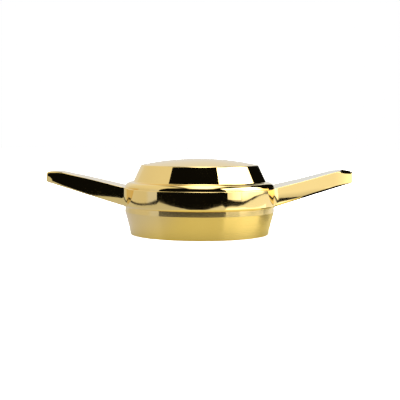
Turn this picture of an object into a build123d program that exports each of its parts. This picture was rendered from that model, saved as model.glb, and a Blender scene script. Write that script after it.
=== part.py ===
"""Two-eared knock-off spinner for a wire wheel: one forged brass piece, machined, polished and plated.

Frame: origin at the centre of the bottom rim, +Z along the thread axis towards the dome, ears along X.
All sizes are in millimetres and degrees.
"""
from build123d import *
from math import cos, radians, sin, sqrt, tan
import os

# Turned body, from the bottom rim upwards
rim_radius = 47.0
rim_edge_round = 0.6
skirt_height = 15.65
band_radius = 51.2
band_height = 3.5
shoulder_round = 3.9
land_width = 2.1
land_slope = 6.0
crown_foot_round = 0.8
crown_height = 11.4
crown_lean = 25.2
crown_edge_round = 1.0
dome_rise = 4.3

# Ring around the body, forged in one with the ears
ring_step = 2.2
ring_thickness = 12.75
upper_edge_round = 0.5
lower_edge_round = 1.6

# Ears, distances measured from the thread axis
ear_reach = 104.2
ear_root_half_width = 19.3
ear_taper = 9.0
ear_root_fillet = 6.0
ear_corner_round = 2.0
ear_end_bow = 0.8
ear_top_start = 47.7
ear_top_slope = 13.5
ear_under_start = 47.2
ear_under_slope = 16.6
ear_start_round = 20.0
ear_tip_length = 12.7
ear_tip_round = 29.0

# Threaded bore, cut to the thread's major diameter, and the hollows around it
thread_major_radius = 21.0
thread_length = 22.0
thread_lead_chamfer = 2.0
relief_undercut = 1.5
relief_top_round = 6.0
top_wall = 6.5
boss_wall = 6.5
boss_recess = 3.0
pocket_width = 12.0
pocket_depth = 36.0
pocket_top_round = 5.0

# Heights and radii that follow from the sizes above
ring_bottom = skirt_height + band_height
ring_top = ring_bottom + ring_thickness
ring_radius = band_radius + ring_step
land_outer_radius = band_radius - shoulder_round * (1 - sin(radians(land_slope)))
land_outer_height = ring_top + shoulder_round * cos(radians(land_slope))
crown_foot_radius = land_outer_radius - land_width
crown_foot_height = land_outer_height + land_width * tan(radians(land_slope))
crown_top_radius = crown_foot_radius - crown_height * tan(radians(crown_lean))
crown_top_height = crown_foot_height + crown_height
overall_height = crown_top_height + dome_rise
thread_bottom = boss_recess + thread_lead_chamfer
thread_top = thread_bottom + thread_length
relief_radius = thread_major_radius + relief_undercut
relief_top = overall_height - top_wall
boss_radius = thread_major_radius + boss_wall
pocket_radius = boss_radius + pocket_width

# Ring and ears: the plan outline, trimmed to the side elevation
taper_ratio = tan(radians(ear_taper))
ear_middle_half_width = ear_root_half_width + ring_radius * taper_ratio
ear_corner_reach = ear_reach - ear_end_bow
ear_tip_half_width = ear_middle_half_width - ear_corner_reach * taper_ratio
tip_start = ear_reach - ear_tip_length
tip_start_height = ring_top + (tip_start - ear_top_start) * tan(radians(ear_top_slope))
tip_centre_reach = tip_start + ear_tip_round * sin(radians(ear_top_slope))
tip_centre_height = tip_start_height - ear_tip_round * cos(radians(ear_top_slope))
tip_end_height = tip_centre_height + sqrt(ear_tip_round**2 - (ear_reach - tip_centre_reach) ** 2)
under_end_height = ring_bottom + (ear_reach - ear_under_start) * tan(radians(ear_under_slope))

with BuildPart() as ring_and_ears:
    with BuildSketch() as plan:
        Circle(ring_radius)
        with BuildLine():
            for side in (1, -1):
                Line((side * ear_corner_reach, ear_tip_half_width), (0, ear_middle_half_width))
                Line((side * ear_corner_reach, -ear_tip_half_width), (0, -ear_middle_half_width))
                ThreePointArc(
                    (side * ear_corner_reach, ear_tip_half_width),
                    (side * ear_reach, 0),
                    (side * ear_corner_reach, -ear_tip_half_width),
                )
        make_face()
        root_corners = plan.vertices().filter_by(lambda v: abs(v.X) < ring_radius)
        fillet(root_corners, ear_root_fillet)
        tip_corners = plan.vertices().filter_by(lambda v: abs(v.X) > ear_corner_reach - ear_end_bow)
        fillet(tip_corners, ear_corner_round)
    extrude(amount=overall_height)

    # Cut away what lies above the top line of the ears
    with BuildSketch(Plane.XZ) as above_ears:
        with BuildLine():
            level = Line((0, ring_top), (ear_top_start, ring_top))
            rise = Line(level @ 1, (tip_start, tip_start_height))
            tip = TangentArc(rise @ 1, (ear_reach, tip_end_height), tangent=rise % 1)
            Polyline(tip @ 1, (ear_reach, overall_height), (0, overall_height), level @ 0)
        make_face()
        fillet(above_ears.vertices().sort_by_distance((ear_top_start, ring_top))[0], ear_start_round)
        mirror(about=Plane.YZ)
    extrude(amount=ring_radius, both=True, mode=Mode.SUBTRACT)
    fillet(ring_and_ears.edges(Select.LAST).filter_by(Axis.Y, reverse=True), upper_edge_round)

    # Cut away what lies below their underside
    with BuildSketch(Plane.XZ) as below_ears:
        with BuildLine():
            floor = Line((0, ring_bottom), (ear_under_start, ring_bottom))
            climb = Line(floor @ 1, (ear_reach, under_end_height))
            Polyline(climb @ 1, (ear_reach, 0), (0, 0), floor @ 0)
        make_face()
        fillet(below_ears.vertices().sort_by_distance((ear_under_start, ring_bottom))[0], ear_start_round)
        mirror(about=Plane.YZ)
    extrude(amount=ring_radius, both=True, mode=Mode.SUBTRACT)
    fillet(ring_and_ears.edges(Select.LAST).filter_by(Axis.Y, reverse=True), lower_edge_round)

with BuildPart() as spinner:
    # Turned body: skirt, band, shoulder, crown and dome
    with BuildSketch(Plane.XZ) as body_section:
        with BuildLine():
            outside = Polyline(
                (0, 0),
                (rim_radius, 0),
                (band_radius, skirt_height),
                (band_radius, ring_top),
            )
            shoulder = TangentArc(outside @ 1, (land_outer_radius, land_outer_height), tangent=(0, 1))
            slopes = Polyline(
                shoulder @ 1,
                (crown_foot_radius, crown_foot_height),
                (crown_top_radius, crown_top_height),
            )
            dome = TangentArc((0, overall_height), slopes @ 1, tangent=(1, 0))
            Line(dome @ 0, outside @ 0)
        make_face()
        corners = body_section.vertices()
        fillet(corners.sort_by_distance((rim_radius, 0))[0], rim_edge_round)
        fillet(corners.sort_by_distance((crown_foot_radius, crown_foot_height))[0], crown_foot_round)
        fillet(corners.sort_by_distance((crown_top_radius, crown_top_height))[0], crown_edge_round)
    revolve(axis=Axis.Z)
    add(ring_and_ears.part)

    # Bore for the hub's thread, with a chamfered lead-in and a relief above it
    with BuildSketch(Plane.XZ) as bore_section:
        with BuildLine():
            Polyline(
                (0, 0),
                (pocket_radius, 0),
                (pocket_radius, boss_recess),
                (thread_major_radius + thread_lead_chamfer, boss_recess),
                (thread_major_radius, thread_bottom),
                (thread_major_radius, thread_top),
                (relief_radius, thread_top),
                (relief_radius, relief_top),
                (0, relief_top),
                close=True,
            )
        make_face()
        fillet(bore_section.vertices().sort_by_distance((relief_radius, relief_top))[0], relief_top_round)
    revolve(axis=Axis.Z, mode=Mode.SUBTRACT)

    # Cast pocket between the threaded boss and the skirt
    with BuildSketch(Plane.XZ) as pocket_section:
        with Locations((boss_radius, 0)):
            Rectangle(pocket_width, pocket_depth, align=(Align.MIN, Align.MIN))
        fillet(pocket_section.vertices().group_by(Axis.Y)[-1], pocket_top_round)
    revolve(axis=Axis.Z, mode=Mode.SUBTRACT)

spinner.part.label = "spinner"
os.makedirs("parts", exist_ok=True)
export_step(spinner.part, "parts/spinner.step")
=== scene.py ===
from math import atan, atan2, cos, pi, radians, sin, sqrt, tan

import bpy
import numpy as np
from mathutils import Matrix


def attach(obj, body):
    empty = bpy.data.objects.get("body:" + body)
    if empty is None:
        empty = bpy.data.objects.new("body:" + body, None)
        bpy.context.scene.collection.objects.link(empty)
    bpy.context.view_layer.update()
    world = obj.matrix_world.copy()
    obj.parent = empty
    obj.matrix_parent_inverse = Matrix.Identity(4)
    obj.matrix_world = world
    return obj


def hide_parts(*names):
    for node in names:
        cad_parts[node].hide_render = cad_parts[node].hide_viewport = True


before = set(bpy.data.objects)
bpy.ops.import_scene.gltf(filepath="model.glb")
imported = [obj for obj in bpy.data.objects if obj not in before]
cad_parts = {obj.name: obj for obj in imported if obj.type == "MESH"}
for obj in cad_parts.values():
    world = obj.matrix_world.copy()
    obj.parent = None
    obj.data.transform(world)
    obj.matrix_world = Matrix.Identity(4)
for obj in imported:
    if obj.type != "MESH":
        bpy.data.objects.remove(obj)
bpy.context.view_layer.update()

# Spinner: the whole nut, one brass forging whose body, ring and two ears are a single piece of metal.
# The skirt, band and bore are turned, all above them is ground and buffed, and the whole is gold plated.
# It screws on to the hub by its bore, so nothing else is fixed to it.

# The turned body, in millimetres
RIM_RADIUS, RIM_ROUND, SKIRT_HEIGHT = 47.0, 0.6, 15.65
BAND_RADIUS, BAND_TOP_RADIUS = 51.2, 51.05
SHOULDER_ROUND, LAND_WIDTH, LAND_SLOPE = 3.9, 2.1, radians(6.0)
CROWN_HEIGHT, CROWN_LEAN, CROWN_FOOT_ROUND, CROWN_EDGE_ROUND = 11.4, radians(25.2), 0.8, 1.0
DOME_RISE = 4.3

# The ring and its ears, with distances measured out from the axis
RING_BOTTOM, RING_TOP, RING_RADIUS = 19.15, 31.9, 53.4
EAR_REACH, EAR_ROOT_HALF_WIDTH, EAR_TAPER = 104.2, 19.3, radians(9.0)
EAR_ROOT_FILLET, EAR_CORNER_ROUND, EAR_END_BOW = 6.0, 2.0, 0.8
EAR_TOP_START, EAR_TOP_SLOPE = 47.7, radians(13.5)
EAR_UNDER_START, EAR_UNDER_SLOPE = 47.2, radians(16.6)
EAR_START_ROUND, EAR_TIP_LENGTH, EAR_TIP_ROUND = 20.0, 12.7, 29.0

# Grinding by hand left the ears a little different: their top lines are trimmed, their edges are rounded more
# or less at these distances out, and the right one has flats at its tip and along its lower edge
TRIM_START, TRIM_LENGTH, RIGHT_TRIM, LEFT_TRIM = 66.0, 28.0, 0.75, -0.2
EDGE_PLACES = (50, 66, 76, 92, 98, 102)
RIGHT_TOP_ROUNDS = (0.45, 0.25, 0.25, 0.25, 1.95, 1.95)
LEFT_TOP_ROUNDS = (0.45, 0.25, 0.25, 1.4, 1.9, 1.9)
RIGHT_UNDER_ROUNDS = (1.5, 1.5, 1.7, 1.5, 0.9, 0.4)
LEFT_UNDER_ROUNDS = (1.5, 0.7, 0.7, 1.2, 1.9, 1.9)
TIP_FLAT_COMES, TIP_FLAT_GOES, UNDER_FLAT_COMES = (93, 96), (103.6, 102.4), (64, 71)

# Their sides are buffed very slightly full, lean a little at the root, and roll under at the left tip
SIDE_SWELL, LEFT_TIP_LEAN = radians(0.9), radians(16.0)
RIGHT_ROOT_LEAN, LEFT_ROOT_LEAN = radians(-0.45), radians(0.3)
SWELL_COMES, SWELL_GOES = (46, 54), (100.2, 92.2)
ROOT_LEAN_COMES, RIGHT_ROOT_LEAN_GOES, LEFT_ROOT_LEAN_GOES = (46, 52), (78, 64), (74, 56)
TIP_LEAN_COMES = (97, 106)

# The hollows underneath
BORE_RADIUS, BORE_BOTTOM, BORE_TOP, LEAD_CHAMFER = 21.0, 5.0, 27.0, 2.0
RELIEF_RADIUS, RELIEF_TOP, RELIEF_ROUND = 22.5, 45.2, 6.0
BOSS_RADIUS, BOSS_FACE = 27.5, 3.0
POCKET_RADIUS, POCKET_TOP, POCKET_ROUND = 39.5, 36.0, 5.0

# How finely the skin is divided: steps round the plan outline, then rows over each surface
RING_STEPS, ROOT_STEPS, SIDE_STEPS, CORNER_STEPS, END_STEPS = 56, 18, 36, 10, 10
RIM_ROWS, FOOT_ROWS, ROUND_ROWS, DOME_ROWS = 5, 6, 8, 16
BAND_ROWS, EDGE_ROWS, UNDER_ROWS, WALL_ROWS, TOP_ROWS, SHOULDER_ROWS = 3, 8, 14, 8, 24, 12

# Every fitting loop below settles well within this many turns
FITTING_TURNS = 40


def sweep(start, end, count):
    """Unit vectors turned from one angle to another, both in radians."""
    angle = np.linspace(start, end, count + 1)
    return np.stack([np.cos(angle), np.sin(angle)], axis=1)


# Plan outline of the ring and one quarter of an ear, from straight behind to the middle of the ear's end
side = np.array([sin(EAR_TAPER), cos(EAR_TAPER)])
along = np.array([cos(EAR_TAPER), -sin(EAR_TAPER)])
side_distance = (EAR_ROOT_HALF_WIDTH + RING_RADIUS * tan(EAR_TAPER)) * cos(EAR_TAPER)
root_side = side_distance + EAR_ROOT_FILLET
root_centre = side * root_side + along * sqrt((RING_RADIUS + EAR_ROOT_FILLET) ** 2 - root_side**2)
tip_half_width = EAR_ROOT_HALF_WIDTH - (EAR_REACH - EAR_END_BOW - RING_RADIUS) * tan(EAR_TAPER)
end_radius = (tip_half_width**2 + EAR_END_BOW**2) / (2 * EAR_END_BOW)
end_centre = np.array([EAR_REACH - end_radius, 0.0])
corner_side = side_distance - EAR_CORNER_ROUND
corner_along = end_centre @ along + sqrt(
    (end_radius - EAR_CORNER_ROUND) ** 2 - (corner_side - end_centre @ side) ** 2
)
corner_centre = side * corner_side + along * corner_along
root_angle = atan2(root_centre[1], root_centre[0])
side_angle = pi / 2 - EAR_TAPER
end_angle = atan2(*(corner_centre - end_centre)[::-1])
ring_turn = sweep(pi / 2, root_angle, RING_STEPS)
root_turn = sweep(root_angle, side_angle, ROOT_STEPS)
corner_turn = sweep(side_angle, end_angle, CORNER_STEPS)
end_turn = sweep(end_angle, 0.0, END_STEPS)
side_start = root_centre - EAR_ROOT_FILLET * side
side_end = corner_centre + EAR_CORNER_ROUND * side
side_share = np.linspace(0, 1, SIDE_STEPS + 1)[:, None]
quarter = [
    (ring_turn * RING_RADIUS, ring_turn),
    (root_centre - root_turn * EAR_ROOT_FILLET, root_turn),
    (side_start + (side_end - side_start) * side_share, np.tile(side, (SIDE_STEPS + 1, 1))),
    (corner_centre + corner_turn * EAR_CORNER_ROUND, corner_turn),
    (end_centre + end_turn * end_radius, end_turn),
]
points = np.concatenate([quarter[0][0]] + [piece[0][1:] for piece in quarter[1:]])
facing = np.concatenate([quarter[0][1]] + [piece[1][1:] for piece in quarter[1:]])


def all_round(outwards):
    """The quarter mirrored into the whole outline, anticlockwise from the middle of the right ear's end."""
    inwards = outwards[::-1]
    parts = [inwards, outwards * (-1, 1), inwards * (-1, -1), outwards * (1, -1)]
    return np.concatenate([part[:-1] for part in parts])


points, facing = all_round(points), all_round(facing)
columns = len(points)
azimuth = np.arctan2(points[:, 1], points[:, 0])
outward = np.stack([np.cos(azimuth), np.sin(azimuth)], axis=1)
ear_x = np.abs(points[:, 0])
away = np.where(points[:, 0] < 0, -1.0, 1.0)
on_right, on_left = away > 0, away < 0


def ease(place, start, end):
    """Share of the way from a start to an end, smooth at both."""
    share = np.clip((place - start) / (end - start), 0, 1)
    return share**2 * (3 - 2 * share)


def start_bend(x, start, slope):
    """Height and steepness of a line that climbs at a slope from a start, with a rounded bend there."""
    bend_start = start - EAR_START_ROUND * tan(slope / 2)
    bend_length = EAR_START_ROUND * sin(slope)
    into = np.clip(x - bend_start, 0, bend_length)
    drop = np.sqrt(EAR_START_ROUND**2 - into**2)
    beyond = np.maximum(x - bend_start - bend_length, 0)
    return EAR_START_ROUND - drop + beyond * tan(slope), into / drop


def ear_top(x):
    """Height and steepness of the top line, which bends over at the tip."""
    height, steepness = start_bend(x, EAR_TOP_START, EAR_TOP_SLOPE)
    tip_start = EAR_REACH - EAR_TIP_LENGTH
    tip_rise = start_bend(np.array(tip_start), EAR_TOP_START, EAR_TOP_SLOPE)[0]
    tip_turn = EAR_TIP_ROUND * sin(EAR_TOP_SLOPE)
    over = np.maximum(x - tip_start - tip_turn, -tip_turn)
    drop = np.sqrt(EAR_TIP_ROUND**2 - over**2)
    at_tip = x > tip_start
    height = np.where(at_tip, tip_rise - EAR_TIP_ROUND * cos(EAR_TOP_SLOPE) + drop, height)
    steepness = np.where(at_tip, -over / drop, steepness)
    trim = np.where(on_right, RIGHT_TRIM, LEFT_TRIM)
    share = np.clip((x - TRIM_START) / TRIM_LENGTH, 0, 1)
    height = RING_TOP + height + trim * ease(x, TRIM_START, TRIM_START + TRIM_LENGTH)
    return height, steepness + trim * 6 * share * (1 - share) / TRIM_LENGTH


def ear_under(x):
    """Height and steepness of the underside."""
    height, steepness = start_bend(x, EAR_UNDER_START, EAR_UNDER_SLOPE)
    return RING_BOTTOM + height, steepness


def edge_and_face(line, up, edge_round, flatness, start_lean, body_radius, end_xy, end_z, face_rows):
    """Rows from the wall over its edge and along the top or underside to the body, with their normals.

    A flatness of one makes the rounded edge a flat, and the start lean is the wall's own where it begins.
    """
    centre_xy = points - facing * edge_round[:, None]
    centre_x = np.abs(centre_xy[:, 0])
    contact = centre_x.copy()
    for _ in range(FITTING_TURNS):
        height, steepness = line(contact)
        lean = -up * steepness / np.sqrt(1 + steepness**2)
        contact = centre_x + edge_round * lean
    height, steepness = line(contact)
    tall = up / np.sqrt(1 + steepness**2)
    face_normal = np.stack([lean * away, np.zeros(columns), tall], axis=1)
    centre = np.column_stack([centre_xy, height - edge_round * tall])
    wall_normal = np.column_stack([facing, np.zeros(columns)])
    spread = np.arccos(np.clip((wall_normal * face_normal).sum(axis=1), -1, 1))

    def on_edge(part):
        turn = (part * spread)[:, None]
        normal = np.sin(spread[:, None] - turn) * wall_normal + np.sin(turn) * face_normal
        normal /= np.linalg.norm(normal, axis=1, keepdims=True)
        flat_offset = wall_normal + (face_normal - wall_normal) * part[:, None]
        offset = normal + (flat_offset - normal) * flatness[:, None]
        flat_normal = (wall_normal + face_normal) / (2 * np.cos(spread / 2))[:, None]
        normal = normal + (flat_normal - normal) * flatness[:, None]
        return centre + offset * edge_round[:, None], normal / np.linalg.norm(normal, axis=1, keepdims=True)

    # On the ring the body's side cuts the rounded edge off before it reaches the face
    low, high = np.zeros(columns), np.ones(columns)
    cut = np.hypot(*on_edge(high)[0][:, :2].T) < body_radius
    for _ in range(FITTING_TURNS):
        middle = (low + high) / 2
        inside = np.hypot(*on_edge(middle)[0][:, :2].T) < body_radius
        low, high = np.where(inside, low, middle), np.where(inside, middle, high)
    last_part = np.where(cut, low, 1.0)
    edge_end = on_edge(last_part)[0]
    end = np.where(cut[:, None], edge_end, np.column_stack([end_xy, end_z]))
    edge_length = last_part * spread * edge_round
    face_length = np.where(cut, 0.0, np.hypot(*(end - edge_end)[:, :2].T))

    # Where the face is short, some of its rows move back on to the edge, so that none fall together
    knee = edge_length * (0.5 + 0.5 * np.minimum(1, face_length / (0.5 * edge_length)))
    rows, normals = [], []
    for i in range(EDGE_ROWS + face_rows + 1):
        beyond_knee = max(0, i - EDGE_ROWS) / face_rows
        reach = knee * min(1, i / EDGE_ROWS) + (edge_length + face_length - knee) * beyond_knee
        edge_turn = np.clip(reach / edge_round, start_lean, last_part * spread)
        edge_point, edge_normal = on_edge(edge_turn / spread)
        share = np.clip((reach - edge_length) / np.maximum(face_length, 1e-9), 0, 1)[:, None]
        face_point = edge_end + (end - edge_end) * share
        height, steepness = line(np.abs(face_point[:, 0]))
        length = np.sqrt(1 + steepness**2)
        face_point = np.column_stack([face_point[:, :2], height])
        normal = np.stack([-up * steepness / length * away, np.zeros(columns), up / length], axis=1)
        on_face = (share[:, 0] > 0)[:, None]
        rows.append(np.where(on_face, face_point, edge_point))
        normals.append(np.where(on_face, normal, edge_normal))
    return np.array(rows), np.array(normals)


def straight(start, end, rows):
    """Points of a section's straight stretch, with both its ends."""
    return np.linspace(start, end, rows + 1)


bands = []
BUFFED, TURNED, FINE_TURNED, BORED, FORGED = range(5)


def add_turned(section, normals, finish):
    """Add a turned surface as rows round the axis, from its section as radius and height and its normals."""
    normals = np.broadcast_to(normals, (len(section), 2))
    rows = [np.column_stack([outward * radius, np.full(columns, height)]) for radius, height in section]
    row_normals = [np.column_stack([outward * lean, np.full(columns, rise)]) for lean, rise in normals]
    bands.append((np.array(rows), np.array(row_normals), finish))


# Hollows, from the top of the relief above the thread out to the rim
relief_middle = np.array([RELIEF_RADIUS - RELIEF_ROUND, RELIEF_TOP - RELIEF_ROUND])
relief_turn = sweep(pi / 2, 0, ROUND_ROWS)
add_turned(straight((0, RELIEF_TOP), (relief_middle[0], RELIEF_TOP), rows=4), (0, -1), BORED)
add_turned(relief_middle + relief_turn * RELIEF_ROUND, -relief_turn, BORED)
add_turned(straight((RELIEF_RADIUS, relief_middle[1]), (RELIEF_RADIUS, BORE_TOP), rows=3), (-1, 0), BORED)
add_turned(straight((RELIEF_RADIUS, BORE_TOP), (BORE_RADIUS, BORE_TOP), rows=1), (0, 1), BORED)
add_turned(straight((BORE_RADIUS, BORE_TOP), (BORE_RADIUS, BORE_BOTTOM), rows=6), (-1, 0), BORED)
lead_outer = BORE_RADIUS + LEAD_CHAMFER
lead_normal = (-sqrt(0.5), -sqrt(0.5))
add_turned(straight((BORE_RADIUS, BORE_BOTTOM), (lead_outer, BOSS_FACE), rows=2), lead_normal, BORED)
add_turned(straight((lead_outer, BOSS_FACE), (BOSS_RADIUS, BOSS_FACE), rows=2), (0, -1), BORED)
pocket_spring = POCKET_TOP - POCKET_ROUND
inner_turn, outer_turn = sweep(pi, pi / 2, ROUND_ROWS), sweep(pi / 2, 0, ROUND_ROWS)
inner_middle = np.array([BOSS_RADIUS + POCKET_ROUND, pocket_spring])
outer_middle = np.array([POCKET_RADIUS - POCKET_ROUND, pocket_spring])
add_turned(straight((BOSS_RADIUS, BOSS_FACE), (BOSS_RADIUS, pocket_spring), rows=4), (1, 0), FORGED)
add_turned(inner_middle + inner_turn * POCKET_ROUND, -inner_turn, FORGED)
add_turned(straight((inner_middle[0], POCKET_TOP), (outer_middle[0], POCKET_TOP), rows=1), (0, -1), FORGED)
add_turned(outer_middle + outer_turn * POCKET_ROUND, -outer_turn, FORGED)
add_turned(straight((POCKET_RADIUS, pocket_spring), (POCKET_RADIUS, 0), rows=5), (-1, 0), FORGED)

# Rim and skirt
skirt_lean = atan((BAND_RADIUS - RIM_RADIUS) / SKIRT_HEIGHT)
rim_middle = np.array([RIM_RADIUS - RIM_ROUND * (1 - sin(skirt_lean)) / cos(skirt_lean), RIM_ROUND])
rim_turn = sweep(-pi / 2, -skirt_lean, RIM_ROWS)
add_turned(straight((POCKET_RADIUS, 0), (rim_middle[0], 0), rows=3), (0, -1), TURNED)
add_turned(rim_middle + rim_turn * RIM_ROUND, rim_turn, TURNED)
skirt_foot = rim_middle + rim_turn[-1] * RIM_ROUND
add_turned(straight(skirt_foot, (BAND_RADIUS, SKIRT_HEIGHT), rows=8), rim_turn[-1], TURNED)

# Where the underside meets the band and the top meets the shoulder, all the way round
under_xy = outward * BAND_TOP_RADIUS
under_z = ear_under(np.abs(under_xy[:, 0]))[0]
shoulder_start = np.zeros(columns)
for _ in range(FITTING_TURNS):
    top_xy = outward * (BAND_RADIUS - SHOULDER_ROUND * (1 - np.cos(shoulder_start)))[:, None]
    top_z = ear_top(np.abs(top_xy[:, 0]))[0]
    shoulder_start = np.arcsin(np.clip((top_z - RING_TOP) / SHOULDER_ROUND, 0, 1))

# Undersides and tops of the ring and ears, with their edges
under_rounds, top_rounds = (
    np.where(on_right, np.interp(ear_x, EDGE_PLACES, right), np.interp(ear_x, EDGE_PLACES, left))
    for right, left in ((RIGHT_UNDER_ROUNDS, LEFT_UNDER_ROUNDS), (RIGHT_TOP_ROUNDS, LEFT_TOP_ROUNDS))
)
under_flat = ease(ear_x, *UNDER_FLAT_COMES) * on_right
top_flat = ease(ear_x, *TIP_FLAT_COMES) * ease(ear_x, *TIP_FLAT_GOES) * on_right
swell = SIDE_SWELL * ease(ear_x, *SWELL_COMES) * ease(ear_x, *SWELL_GOES)
right_root_lean = RIGHT_ROOT_LEAN * ease(ear_x, *RIGHT_ROOT_LEAN_GOES)
left_root_lean = LEFT_ROOT_LEAN * ease(ear_x, *LEFT_ROOT_LEAN_GOES)
root_lean = np.where(on_right, right_root_lean, left_root_lean) * ease(ear_x, *ROOT_LEAN_COMES)
tip_lean = LEFT_TIP_LEAN * ease(ear_x, *TIP_LEAN_COMES) * on_left
under_rows, under_normals = edge_and_face(
    ear_under, -1, under_rounds, under_flat, swell + tip_lean, BAND_TOP_RADIUS, under_xy, under_z, UNDER_ROWS
)
top_rows, top_normals = edge_and_face(
    ear_top, 1, top_rounds, top_flat, swell, BAND_RADIUS, top_xy, top_z, TOP_ROWS
)
under_rows, under_normals = under_rows[::-1], under_normals[::-1]

# Band below the ring, then the ring's and ears' underside, wall and top
band_low = np.column_stack([outward * BAND_RADIUS, np.full(columns, SKIRT_HEIGHT)])
band_share = np.linspace(0, 1, BAND_ROWS + 1)[:, None, None]
band_lean = np.arctan2(BAND_RADIUS - BAND_TOP_RADIUS, under_rows[0][:, 2] - SKIRT_HEIGHT)
band_normal = np.column_stack([outward * np.cos(band_lean)[:, None], np.sin(band_lean)])
band_rows = band_low + (under_rows[0] - band_low) * band_share
bands.append((band_rows, np.tile(band_normal, (BAND_ROWS + 1, 1, 1)), FINE_TURNED))
bands.append((under_rows, under_normals, BUFFED))
wall_foot, wall_top = under_rows[-1], top_rows[0]
wall_rows, wall_normals = [], []
for share in np.linspace(0, 1, WALL_ROWS + 1):
    bulge = (wall_top - wall_foot)[:, 2] * np.tan(swell / 2) / 2 * (1 - (2 * share - 1) ** 2)
    lean = swell * (2 * share - 1) - root_lean - tip_lean * (1 - share)
    swollen = np.column_stack([facing * bulge[:, None], np.zeros(columns)])
    wall_rows.append(wall_foot + (wall_top - wall_foot) * share + swollen)
    wall_normals.append(np.column_stack([facing * np.cos(lean)[:, None], np.sin(lean)]))
bands.append((np.array(wall_rows), np.array(wall_normals), BUFFED))
bands.append((top_rows, top_normals, BUFFED))

# Shoulder, land, crown and dome
shoulder_end = pi / 2 - LAND_SLOPE
shoulder_rows, shoulder_normals = [], []
for share in np.linspace(0, 1, SHOULDER_ROWS + 1):
    turn = shoulder_start + (shoulder_end - shoulder_start) * share
    radius = BAND_RADIUS - SHOULDER_ROUND * (1 - np.cos(turn))
    height = RING_TOP + SHOULDER_ROUND * np.sin(turn)
    shoulder_rows.append(np.column_stack([outward * radius[:, None], height]))
    shoulder_normals.append(np.column_stack([outward * np.cos(turn)[:, None], np.sin(turn)]))
shoulder_rows[0] = top_rows[-1]
bands.append((np.array(shoulder_rows), np.array(shoulder_normals), BUFFED))
land_normal = np.array([sin(LAND_SLOPE), cos(LAND_SLOPE)])
crown_normal = np.array([cos(CROWN_LEAN), sin(CROWN_LEAN)])
land_outer = np.array([BAND_RADIUS - SHOULDER_ROUND, RING_TOP]) + SHOULDER_ROUND * land_normal
crown_foot = land_outer + LAND_WIDTH * np.array([-1, tan(LAND_SLOPE)])
crown_top = crown_foot + CROWN_HEIGHT * np.array([-tan(CROWN_LEAN), 1])
foot_middle = crown_foot + CROWN_FOOT_ROUND * np.linalg.solve([land_normal, crown_normal], [1, 1])
foot_turn = sweep(shoulder_end, CROWN_LEAN, FOOT_ROWS)
foot_section = foot_middle - foot_turn * CROWN_FOOT_ROUND
dome_radius = (crown_top[0] ** 2 + DOME_RISE**2) / (2 * DOME_RISE)
dome_middle = np.array([0, crown_top[1] + DOME_RISE - dome_radius])
crown_climb = np.array([-sin(CROWN_LEAN), cos(CROWN_LEAN)])
edge_middle = crown_top - crown_normal * CROWN_EDGE_ROUND
back = (edge_middle - dome_middle) @ crown_climb
across = (edge_middle - dome_middle) @ crown_normal
edge_middle = edge_middle + crown_climb * (sqrt((dome_radius - CROWN_EDGE_ROUND) ** 2 - across**2) - back)
dome_angle = atan2(*(edge_middle - dome_middle)[::-1])
edge_turn = sweep(CROWN_LEAN, dome_angle, ROUND_ROWS)
edge_section = edge_middle + edge_turn * CROWN_EDGE_ROUND
dome_turn = sweep(dome_angle, pi / 2, DOME_ROWS)
add_turned(straight(land_outer, foot_section[0], rows=2), land_normal, BUFFED)
add_turned(foot_section, foot_turn, BUFFED)
add_turned(straight(foot_section[-1], edge_section[0], rows=4), crown_normal, BUFFED)
add_turned(edge_section, edge_turn, BUFFED)
add_turned(dome_middle + dome_turn * dome_radius, dome_turn, BUFFED)

# Join the bands into one closed skin whose corners carry the true normals of the surface they belong to
vertices = [bands[0][0][0][:1]]
faces, corner_normals, finishes = [], [], []
ring_index = np.arange(columns)
next_index = np.roll(ring_index, -1)
base = 0
for number, (rows, normals, finish) in enumerate(bands):
    for i in range(len(rows) - 1):
        first_pole = number == 0 and i == 0
        last_pole = number == len(bands) - 1 and i == len(rows) - 2
        new_base = base + (1 if first_pole else columns)
        vertices.append(rows[i + 1][:1] if last_pole else rows[i + 1])
        lower, lower_next = base + ring_index, base + next_index
        upper, upper_next = new_base + ring_index, new_base + next_index
        here, there = normals[i], normals[i + 1]
        if first_pole:
            faces += np.column_stack([np.full(columns, base), upper_next, upper]).tolist()
            corner_normals.append(np.stack([here, there[next_index], there], axis=1).reshape(-1, 3))
        elif last_pole:
            faces += np.column_stack([lower, lower_next, np.full(columns, new_base)]).tolist()
            corner_normals.append(np.stack([here, here[next_index], there], axis=1).reshape(-1, 3))
        else:
            faces += np.column_stack([lower, lower_next, upper_next, upper]).tolist()
            quad_normals = [here, here[next_index], there[next_index], there]
            corner_normals.append(np.stack(quad_normals, axis=1).reshape(-1, 3))
        finishes += [finish] * columns
        base = new_base
spinner_mesh = bpy.data.meshes.new("spinner_skin")
spinner_mesh.from_pydata((np.concatenate(vertices) / 1000).tolist(), [], faces)
spinner_mesh.polygons.foreach_set("use_smooth", [True] * len(faces))
spinner_mesh.polygons.foreach_set("material_index", finishes)
spinner_mesh.normals_split_custom_set(np.concatenate(corner_normals).tolist())
spinner = bpy.data.objects.new("spinner_skin", spinner_mesh)
bpy.context.collection.objects.link(spinner)


def linear(code):
    """An sRGB hex colour as linear RGBA."""
    channels = [int(code[i : i + 2], 16) / 255 for i in (1, 3, 5)]
    return [c / 12.92 if c <= 0.04045 else ((c + 0.055) / 1.055) ** 2.4 for c in channels] + [1.0]


def add_node(tree, kind, inputs=None, **settings):
    """Add a node to a tree, give it its settings, and set or link its inputs by name or number."""
    node = tree.nodes.new(kind)
    for name, value in settings.items():
        setattr(node, name, value)
    for name, value in (inputs or {}).items():
        if isinstance(value, bpy.types.NodeSocket):
            tree.links.new(value, node.inputs[name])
        else:
            node.inputs[name].default_value = value
    return node


# The plating is nearly even: its two shades differ by a hair, in patches about this wide
PATCH_MM = 18.0
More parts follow.
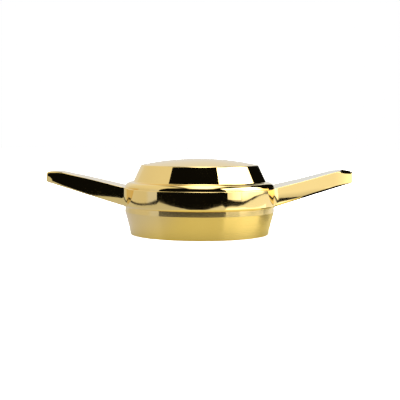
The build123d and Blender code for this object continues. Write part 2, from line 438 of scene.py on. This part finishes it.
# Most values of a noise lie between these
NOISE_LOW, NOISE_HIGH = 0.3, 0.7
# A quarter turn, so that reflections stretch across the cutter lines
STRETCH_TURN = 0.25
BRIGHT_GOLD, BORED_GOLD, FORGED_GOLD = ("#F9DC93", "#F7D88D"), ("#F3D592", "#EFCE8A"), ("#E6C684", "#DBB877")


def gold_plate(name, shades, roughness, grain_mm, grain_depth_mm, grooves=False, anisotropy=0.0):
    """Gold plating over one kind of surface, its gloss and relief following the grain underneath."""
    material = bpy.data.materials.new(name)
    material.use_nodes = True
    tree = material.node_tree
    tree.nodes.clear()
    place = add_node(tree, "ShaderNodeTexCoord").outputs["Object"]
    patches = add_node(tree, "ShaderNodeTexNoise", {"Vector": place, "Scale": 1000 / PATCH_MM, "Detail": 2.0})
    grain_inputs = {"Vector": place, "Scale": 1000 / grain_mm, "Detail": 3.0}
    grain_settings = {}
    if grooves:
        # Cutter marks lie at one height and one radius, so they follow the sum of the two round the axis
        split = add_node(tree, "ShaderNodeSeparateXYZ", {0: place})
        flat = add_node(tree, "ShaderNodeCombineXYZ", {0: split.outputs[0], 1: split.outputs[1]})
        radius = add_node(tree, "ShaderNodeVectorMath", {0: flat.outputs[0]}, operation="LENGTH")
        height_and_radius = {0: split.outputs[2], 1: radius.outputs["Value"]}
        across = add_node(tree, "ShaderNodeMath", height_and_radius, operation="ADD")
        grain_inputs = {"W": across.outputs[0], "Scale": 1000 / grain_mm, "Detail": 3.0}
        grain_settings = {"noise_dimensions": "1D"}
    # The noise node's sockets follow its dimensions, so those are set before the inputs
    grain = add_node(tree, "ShaderNodeTexNoise", grain_inputs, **grain_settings).outputs[0]
    two_shades = {0: patches.outputs[0], 6: linear(shades[0]), 7: linear(shades[1])}
    colour = add_node(tree, "ShaderNodeMix", two_shades, data_type="RGBA")
    gloss_range = {0: grain, 1: NOISE_LOW, 2: NOISE_HIGH, 3: roughness[0], 4: roughness[1]}
    gloss = add_node(tree, "ShaderNodeMapRange", gloss_range)
    depth = {"Height": grain, "Strength": 1.0, "Distance": grain_depth_mm / 1000}
    relief = add_node(tree, "ShaderNodeBump", depth)
    shader = add_node(
        tree,
        "ShaderNodeBsdfPrincipled",
        {
            "Base Color": colour.outputs[2],
            "Metallic": 1.0,
            "Roughness": gloss.outputs[0],
            "Anisotropic": anisotropy,
            "Anisotropic Rotation": STRETCH_TURN if anisotropy else 0.0,
            "Normal": relief.outputs[0],
        },
    )
    add_node(tree, "ShaderNodeOutputMaterial", {"Surface": shader.outputs[0]})
    return material


# Buffed until it mirrors the room, with a faint waviness that only shows as soft edges in the reflections
buffed_gold = gold_plate("gold_plate_buffed", BRIGHT_GOLD, (0.02, 0.045), grain_mm=30.0, grain_depth_mm=0.004)
# Fine cutter lines round the skirt spread each reflection up and down but not sideways, so it looks satin.
# The real lines, about a tenth of a millimetre apart, are too fine to show, so they are drawn coarser.
turned_gold = gold_plate(
    "gold_plate_turned", BRIGHT_GOLD, (0.2675, 0.2725), 2.4, 0.0001, grooves=True, anisotropy=1.0
)
# A finer cut on the band leaves it between satin and bright, its lines drawn coarser too
fine_gold = gold_plate(
    "gold_plate_fine_turned", BRIGHT_GOLD, (0.09, 0.12), 0.8, 0.001, grooves=True, anisotropy=1.0
)
# Bored and faced but not polished: plain tool rings that catch the light in bands
bored_gold = gold_plate("gold_plate_bored", BORED_GOLD, (0.22, 0.34), 1.0, 0.01, grooves=True, anisotropy=0.6)
# Left as it was forged under the plating: dull, a little darker and pebbled
forged_gold = gold_plate("gold_plate_forged", FORGED_GOLD, (0.4, 0.6), grain_mm=2.5, grain_depth_mm=0.15)
for plating in (buffed_gold, turned_gold, fine_gold, bored_gold, forged_gold):
    spinner_mesh.materials.append(plating)

# The direction of the stretch follows the mesh's texture space. An even one, centred on the axis and a little
# larger than the part, keeps it square to the cutter lines all the way round.
TEXTURE_SPACE = 0.11
spinner_mesh.use_auto_texspace = False
spinner_mesh.texspace_location = (0, 0, 0)
spinner_mesh.texspace_size = (TEXTURE_SPACE, TEXTURE_SPACE, TEXTURE_SPACE)
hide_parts("spinner")
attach(spinner, "root")

# Hub thread: right-handed, eight turns to the inch, cut in the bore's own brass and plated with the rest.
# A single point on a lathe left its one ridge, which fades out at both ends and is rooted in the bore's wall.
THREAD_MM = {
    "Start": 6.5,
    "Length": 19.0,
    "Pitch": 25.4 / 8,
    "Root radius": 21.1,
    "Root width": 2.9,
    "Crest width": 0.5,
    "Ridge height": 1.8,
}
STEPS_IN_A_TURN, FADING_SHARE, SIZE_AT_THE_ENDS, SHARP_EDGE = 96, 0.08, 0.05, radians(35)
thread_tree = bpy.data.node_groups.new("thread_ridge", "GeometryNodeTree")
for name in THREAD_MM:
    thread_tree.interface.new_socket(name, in_out="INPUT", socket_type="NodeSocketFloat")
thread_tree.interface.new_socket("Plating", in_out="INPUT", socket_type="NodeSocketMaterial")
thread_tree.interface.new_socket("Ridge", in_out="OUTPUT", socket_type="NodeSocketGeometry")
given = add_node(thread_tree, "NodeGroupInput").outputs
turns = add_node(thread_tree, "ShaderNodeMath", {0: given["Length"], 1: given["Pitch"]}, operation="DIVIDE")
helix = add_node(
    thread_tree,
    "GeometryNodeCurveSpiral",
    {
        "Resolution": STEPS_IN_A_TURN,
        "Rotations": turns.outputs[0],
        "Start Radius": given["Root radius"],
        "End Radius": given["Root radius"],
        "Height": given["Length"],
    },
)
upright = add_node(thread_tree, "GeometryNodeSetCurveNormal", {"Curve": helix.outputs[0]}, mode="Z_UP")
along_helix = add_node(thread_tree, "GeometryNodeSplineParameter").outputs["Factor"]
from_end = add_node(thread_tree, "ShaderNodeMath", {0: along_helix, 1: 0.5}, operation="PINGPONG")
fading = {0: from_end.outputs[0], 1: 0.0, 2: FADING_SHARE, 3: SIZE_AT_THE_ENDS, 4: 1.0}
fade = add_node(thread_tree, "ShaderNodeMapRange", fading)
faded = add_node(
    thread_tree, "GeometryNodeSetCurveRadius", {"Curve": upright.outputs[0], "Radius": fade.outputs[0]}
)
ridge = add_node(
    thread_tree,
    "GeometryNodeCurvePrimitiveQuadrilateral",
    {
        "Bottom Width": given["Root width"],
        "Top Width": given["Crest width"],
        "Offset": 0.0,
        "Height": given["Ridge height"],
    },
    mode="TRAPEZOID",
)
inset = add_node(thread_tree, "ShaderNodeMath", {0: given["Ridge height"], 1: 0.5}, operation="MULTIPLY")
inward = add_node(thread_tree, "ShaderNodeCombineXYZ", {0: inset.outputs[0]})
pointed_in = add_node(
    thread_tree,
    "GeometryNodeTransform",
    {"Geometry": ridge.outputs[0], "Translation": inward.outputs[0], "Rotation": (0.0, 0.0, -pi / 2)},
)
swept = add_node(
    thread_tree,
    "GeometryNodeCurveToMesh",
    {"Curve": faded.outputs[0], "Profile Curve": pointed_in.outputs[0], "Fill Caps": True},
)
lift = add_node(thread_tree, "ShaderNodeCombineXYZ", {2: given["Start"]})
lifted = add_node(
    thread_tree, "GeometryNodeTransform", {"Geometry": swept.outputs[0], "Translation": lift.outputs[0]}
)
realized = add_node(thread_tree, "GeometryNodeRealizeInstances", {"Geometry": lifted.outputs[0]})
plated = add_node(
    thread_tree, "GeometryNodeSetMaterial", {"Geometry": realized.outputs[0], "Material": given["Plating"]}
)
add_node(thread_tree, "NodeGroupOutput", {"Ridge": plated.outputs[0]})
thread = bpy.data.objects.new("hub_thread", bpy.data.meshes.new("hub_thread_seed"))
bpy.context.collection.objects.link(thread)
cutting = thread.modifiers.new("thread_ridge", "NODES")
cutting.node_group = thread_tree
for socket in thread_tree.interface.items_tree:
    if socket.in_out == "INPUT":
        is_size = socket.name in THREAD_MM
        cutting[socket.identifier] = THREAD_MM[socket.name] / 1000 if is_size else bored_gold
thread_mesh = bpy.data.meshes.new_from_object(thread.evaluated_get(bpy.context.evaluated_depsgraph_get()))
thread.modifiers.remove(cutting)
thread.data = thread_mesh
thread_mesh.name = "hub_thread"
thread_mesh.polygons.foreach_set("use_smooth", [True] * len(thread_mesh.polygons))
thread_mesh.set_sharp_from_angle(angle=SHARP_EDGE)
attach(thread, "root")

# Camera: a long lens a little above the dome's level, turned and tipped very slightly off square to the ears.
# Its place and aim are in millimetres, and its scale is what one pixel covers at the thread's axis.
DISTANCE, PITCH, YAW, ROLL = 650.0, radians(4.14), radians(1.8), radians(0.25)
AIM_ACROSS, AIM_HEIGHT = 0.24, 23.14
SENSOR_WIDTH, MM_PER_PIXEL, PICTURE_WIDTH = 36.0, 0.6874, 400
camera_data = bpy.data.cameras.new("camera")
camera_data.sensor_width = SENSOR_WIDTH
camera_data.lens = SENSOR_WIDTH * DISTANCE / (MM_PER_PIXEL * PICTURE_WIDTH)
camera = bpy.data.objects.new("camera", camera_data)
facing_camera = Matrix.Rotation(-YAW, 4, "Z")
stand = (AIM_ACROSS / 1000, -DISTANCE * cos(PITCH) / 1000, (AIM_HEIGHT + DISTANCE * sin(PITCH)) / 1000)
tipped = Matrix.Translation(stand) @ Matrix.Rotation(pi / 2 - PITCH, 4, "X")
camera.matrix_world = facing_camera @ tipped @ Matrix.Rotation(ROLL, 4, "Z")
bpy.context.collection.objects.link(camera)
bpy.context.scene.camera = camera

# Floor: plain white paper under the part, lit so brightly that it runs out to white and keeps no shadow.
# Reflections don't see it, because the studio's own table below takes its place in them.
HALF_PAPER = 3.0
paper_corners = [(x * HALF_PAPER, y * HALF_PAPER, 0) for x, y in ((-1, -1), (1, -1), (1, 1), (-1, 1))]
floor_mesh = bpy.data.meshes.new("floor")
floor_mesh.from_pydata(paper_corners, [], [(0, 1, 2, 3)])
floor = bpy.data.objects.new("floor", floor_mesh)
bpy.context.collection.objects.link(floor)
# Matt uncoated paper: white, with no shine
floor_material = bpy.data.materials.new("white_paper")
floor_material.use_nodes = True
paper = floor_material.node_tree.nodes["Principled BSDF"].inputs
paper["Base Color"].default_value = linear("#F4F4F2")
paper["Roughness"].default_value = 0.9
floor_mesh.materials.append(floor_material)
floor.visible_glossy = False

# Studio: the mirror-bright metal shows the room, so lamps and white boards stand round it out of view.
# Each is a sheet that only reflections see, with its corners in millimetres as the camera faces it.
# The gap in front, where the camera stands, is the black in the metal.


def sheet(name, corners, glow=1.0, levels=(), colour="#FFFFFF", tints=()):
    """A glowing sheet that only reflections see.

    Each level multiplies its glow from one value to another, and each tint brings in a colour, over a stretch
    of x, y, z or the distance r from the axis.
    """
    mesh = bpy.data.meshes.new(name)
    mesh.from_pydata([[value / 1000 for value in corner] for corner in corners], [], [range(len(corners))])
    board = bpy.data.objects.new(name, mesh)
    board.matrix_world = facing_camera
    bpy.context.collection.objects.link(board)
    for ray in ("camera", "diffuse", "transmission", "volume_scatter", "shadow"):
        setattr(board, "visible_" + ray, False)
    # Painted light: an emission without grain or shine whose glow stands for the light a lamp, board, card or
    # table sends; the levels and tints paint its brighter and darker stretches and its warm or cool light
    material = bpy.data.materials.new(name + "_painted_light")
    material.use_nodes = True
    tree = material.node_tree
    tree.nodes.clear()
    place = add_node(tree, "ShaderNodeTexCoord").outputs["Object"]
    split = add_node(tree, "ShaderNodeSeparateXYZ", {0: place})
    flat = add_node(tree, "ShaderNodeVectorMath", {0: place, 1: (1, 1, 0)}, operation="MULTIPLY")
    distance = add_node(tree, "ShaderNodeVectorMath", {0: flat.outputs[0]}, operation="LENGTH")
    along_axis = dict(zip("xyzr", [*split.outputs, distance.outputs["Value"]]))
    strength, shade = glow, linear(colour)
    for axis, start, end, low, high in levels:
        stretch = {0: along_axis[axis], 1: start / 1000, 2: end / 1000, 3: low, 4: high}
        level = add_node(tree, "ShaderNodeMapRange", stretch, interpolation_type="SMOOTHSTEP")
        dimmed = {0: strength, 1: level.outputs[0]}
        strength = add_node(tree, "ShaderNodeMath", dimmed, operation="MULTIPLY").outputs[0]
    for axis, start, end, tint in tints:
        stretch = {0: along_axis[axis], 1: start / 1000, 2: end / 1000}
        share = add_node(tree, "ShaderNodeMapRange", stretch, interpolation_type="SMOOTHSTEP")
        mixed = {0: share.outputs[0], 6: shade, 7: linear(tint)}
        shade = add_node(tree, "ShaderNodeMix", mixed, data_type="RGBA").outputs[2]
    emission = add_node(tree, "ShaderNodeEmission", {"Color": shade, "Strength": strength})
    add_node(tree, "ShaderNodeOutputMaterial", {"Surface": emission.outputs[0]})
    mesh.materials.append(material)


# The table, whose uneven edge is the wavy lower line in the ring, with a painted pool of light and a painted
# shadow on it
# Painted shade on the table near the rim, where the part itself shades it
SHADE_ROUND_RIM = ("r", 47, 62, 0.72, 1.0)
TABLE_COOL, TABLE_WARM, TABLE_WHITE = "#DEE3FF", "#E3DDAA", "#E3E5E8"
table_left = [(-320, 400), (-320, -90), (-306, -172), (-320, -212), (-265, -246), (-161, -284)]
table_front = [(-106, -294), (-9, -296), (40, -299), (102, -309), (176, -304), (183, -265), (210, -262)]
table_corner = [(227, -248), (245, -230), (260, -209), (283, -191), (303, -170), (335, -149), (380, -114)]
table_right = [(433, -40), (462, 10), (470, 66), (469, 129), (440, 192), (440, 400)]
# Painted light and shade: the table is darker to the left and brighter to the right, cool at the far left,
# warmer nearer and whiter further out
sheet(
    "table",
    [(x, y, 0.0) for x, y in table_left + table_front + table_corner + table_right],
    glow=1.3,
    levels=[("x", -80, -10, 0.60, 0.82), ("x", 140, 230, 1.0, 1.27), SHADE_ROUND_RIM],
    colour=TABLE_COOL,
    tints=[("x", -80, -20, TABLE_WARM), ("r", 70, 240, TABLE_WHITE)],
)
# A painted pool of warm light on the table, brighter further out
pool_front = [(24, -58), (150, -230), (176, -253), (205, -235), (240, -200), (275, -150)]
pool_back = [(320, 85), (180, 29), (57, -20)]
sheet(
    "light_on_table",
    [(x, y, 0.4) for x, y in pool_front + pool_back],
    glow=1.3,
    levels=[SHADE_ROUND_RIM, ("r", 110, 180, 1.0, 1.2), ("r", 190, 250, 1.0, 1.5)],
    colour=TABLE_WARM,
    tints=[("r", 70, 240, TABLE_WHITE)],
)
# A painted shadow: a near-black sheet beneath the right ear, where the ear's shadow lies on the table
sheet("shadow_on_table", [(74, -20, 0.6), (150, -20, 0.6), (150, 20, 0.6), (74, 20, 0.6)], glow=0.01)

# The softbox on the right stands slantwise and glows in bands, the brightest high up. It has a brighter patch
# at its foot, and a small card stands beside the ring.
SOFTBOX_NEAR, SOFTBOX_FAR, SOFTBOX_TOP = (108, -156), (266, 75), 225
SOFTBOX_SLANT = (SOFTBOX_FAR[1] - SOFTBOX_NEAR[1]) / (SOFTBOX_FAR[0] - SOFTBOX_NEAR[0])
FOOT_FORWARD, CARD_FORWARD = 1.0, 131.25


def on_slant(outline, forward=0.0):
    """Corners of a sheet in the softbox's plane, or moved forward from it, from their x and z."""
    return [(x, SOFTBOX_NEAR[1] + (x - SOFTBOX_NEAR[0]) * SOFTBOX_SLANT + forward, z) for x, z in outline]


softbox_foot = [(SOFTBOX_NEAR[0], 17.4), (116, 17.0), (128, 16.2), (145, 15.9), (166, 17.5)]
softbox_foot += [(180, 18.7), (205, 18.5), (245, 16.5), (SOFTBOX_FAR[0], 14.5)]
sheet(
    "softbox_right",
    on_slant(softbox_foot + [(SOFTBOX_FAR[0], SOFTBOX_TOP), (SOFTBOX_NEAR[0], SOFTBOX_TOP)]),
    levels=[
        ("z", 15, 25, 0.65, 1.03),
        ("z", 40, 60, 1.0, 2.3),
        ("z", 75, 95, 1.0, 0.42),
        ("z", 112, 132, 1.0, 4.0),
        ("z", 200, 215, 1.0, 0.3),
        ("x", 110, 118, 1.25, 1.0),
        ("x", 143, 160, 1.0, 2.0),
        ("x", 218, 245, 1.0, 0.45),
    ],
)
sheet(
    "softbox_right_foot",
    on_slant([(139, 16.0), (145, 15.9), (160, 17.0), (160, 24), (139, 24)], FOOT_FORWARD),
    levels=[("z", 15, 22, 1.0, 2.2), ("x", 139, 146, 0.5, 1.0)],
)
sheet(
    "card_by_ring",
    on_slant([(59, 22.7), (75.5, 22.7), (75.5, 34), (59, 34)], CARD_FORWARD),
    levels=[("x", 58, 76, 1.08, 2.0)],
)

# White boards on the left, behind and above
LEFT_BOARD, CEILING = -331, 400
sheet(
    "board_left",
    [(LEFT_BOARD, y, z) for y, z in [(-192, 2.2), (-90, 1.2), (420, 0.8), (420, 500), (-192, 500)]],
    glow=1.3,
    levels=[("z", 0, 300, 0.70, 0.84)],
    colour="#E3E8FF",
    tints=[("y", -110, -65, "#E3E0D7"), ("z", 0, 200, "#E3E0D7")],
)
BACKDROP_RIGHT, BACKDROP_DISTANCE, BACKDROP_SLANT = 133, 255, 0.178
backdrop_right = [(BACKDROP_RIGHT, 0), (BACKDROP_RIGHT, 175), (150, 200), (160, 330), (110, 320)]
backdrop_left = [(95, 224), (-60, 248), (-60, 400), (-400, 480), (-400, 0)]
sheet(
    "backdrop",
    [
        (x, BACKDROP_DISTANCE + (BACKDROP_RIGHT - x) * BACKDROP_SLANT, z)
        for x, z in backdrop_right + backdrop_left
    ],
    levels=[("z", 0, 300, 0.76, 0.86), ("x", 20, 110, 1.0, 1.18)],
    tints=[("x", 20, 110, "#EAF3FF")],
)
sheet(
    "board_above_left",
    [(x, y, CEILING) for x, y in [(-500, -180), (-115, -180), (-115, 350), (-500, 350)]],
    levels=[("x", -200, -120, 0.86, 0.3)],
    colour="#FFFCEC",
)
sheet(
    "board_above_right",
    [(x, y, CEILING) for x, y in [(148, 60), (430, 60), (290, 220), (148, 250)]],
    glow=0.85,
)
sheet(
    "softbox_above",
    [(x, y, CEILING) for x, y in [(-105, -310), (145, -310), (145, 250), (-105, 250)]],
    levels=[("x", -105, 0, 1.0, 2.6), ("x", 60, 140, 1.0, 0.35)],
)

# The room beyond: white for the camera, strong even light for the paper, nearly black in the metal
ROOM_FOR_PAPER, ROOM_IN_METAL = 5.0, 0.004
world = bpy.data.worlds.new("studio")
world.use_nodes = True
world_tree = world.node_tree
world_tree.nodes.clear()
rays = add_node(world_tree, "ShaderNodeLightPath").outputs
on_paper = {0: rays["Is Diffuse Ray"], 1: ROOM_FOR_PAPER, 2: ROOM_IN_METAL}
beyond_camera = add_node(world_tree, "ShaderNodeMath", on_paper, operation="MULTIPLY_ADD")
in_picture = {0: rays["Is Camera Ray"], 1: beyond_camera.outputs[0]}
room_glow = add_node(world_tree, "ShaderNodeMath", in_picture, operation="ADD")
white_room = {"Color": (1, 1, 1, 1), "Strength": room_glow.outputs[0]}
background = add_node(world_tree, "ShaderNodeBackground", white_room)
add_node(world_tree, "ShaderNodeOutputWorld", {"Surface": background.outputs[0]})
bpy.context.scene.world = world
bpy.context.scene.view_settings.view_transform = "Standard"
